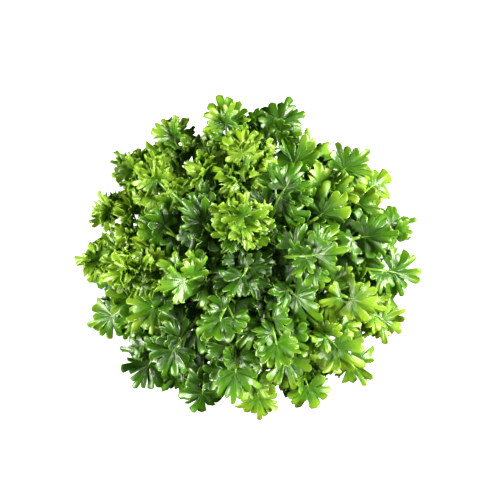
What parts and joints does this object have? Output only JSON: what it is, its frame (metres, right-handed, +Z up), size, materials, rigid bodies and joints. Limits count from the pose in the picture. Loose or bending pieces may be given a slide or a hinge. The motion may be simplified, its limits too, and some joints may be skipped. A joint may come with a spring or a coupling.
{
  "type": "parsley bunch",
  "caption": "Bunch of curled parsley held by a rubber band, with a round crown of lobed leaflets, standing on its level-cut stems.",
  "frame": {"origin": "middle of the cut stem ends, on the surface that the bunch stands on", "axes": "+Z up from the cut ends to the crown; +X along the crown's wider side, and the bunch has no front"},
  "size_m": [0.1639, 0.1535, 0.124],
  "materials": {
    "frond_deep": "satin",
    "frond_mid": "satin",
    "frond_young": "satin",
    "band": "matte"
  },
  "bodies": {
    "root": {"frond_heart_1": "frond_young", "frond_heart_2": "frond_deep", "frond_heart_3": "frond_deep", "frond_heart_4": "frond_mid", "frond_heart_5": "frond_mid", "frond_heart_6": "frond_mid", "frond_heart_7": "frond_deep", "frond_heart_8": "frond_mid", "frond_heart_9": "frond_deep", "frond_heart_10": "frond_mid", "frond_shoulder_1": "frond_young", "frond_shoulder_2": "frond_young", "frond_shoulder_3": "frond_young", "frond_shoulder_4": "frond_deep", "frond_shoulder_5": "frond_young", "frond_shoulder_6": "frond_mid", "frond_shoulder_7": "frond_mid", "frond_shoulder_8": "frond_mid", "frond_shoulder_9": "frond_deep", "frond_shoulder_10": "frond_mid", "frond_shoulder_11": "frond_mid", "frond_shoulder_12": "frond_deep", "frond_shoulder_13": "frond_deep", "frond_shoulder_14": "frond_mid", "frond_rim_1": "frond_mid", "frond_rim_2": "frond_mid", "frond_rim_3": "frond_mid", "frond_rim_4": "frond_young", "frond_rim_5": "frond_mid", "frond_rim_6": "frond_mid", "frond_rim_7": "frond_young", "frond_rim_8": "frond_mid", "frond_rim_9": "frond_mid", "frond_rim_10": "frond_young", "frond_rim_11": "frond_deep", "frond_rim_12": "frond_deep", "frond_rim_13": "frond_mid", "frond_rim_14": "frond_young", "frond_rim_15": "frond_young", "frond_rim_16": "frond_mid", "frond_rim_17": "frond_mid", "frond_skirt_1": "frond_deep", "frond_skirt_2": "frond_deep", "frond_skirt_3": "frond_deep", "frond_skirt_4": "frond_deep", "frond_skirt_5": "frond_deep", "frond_skirt_6": "frond_deep", "frond_skirt_7": "frond_deep", "rubber_band": "band"}
  },
  "joints": []
}
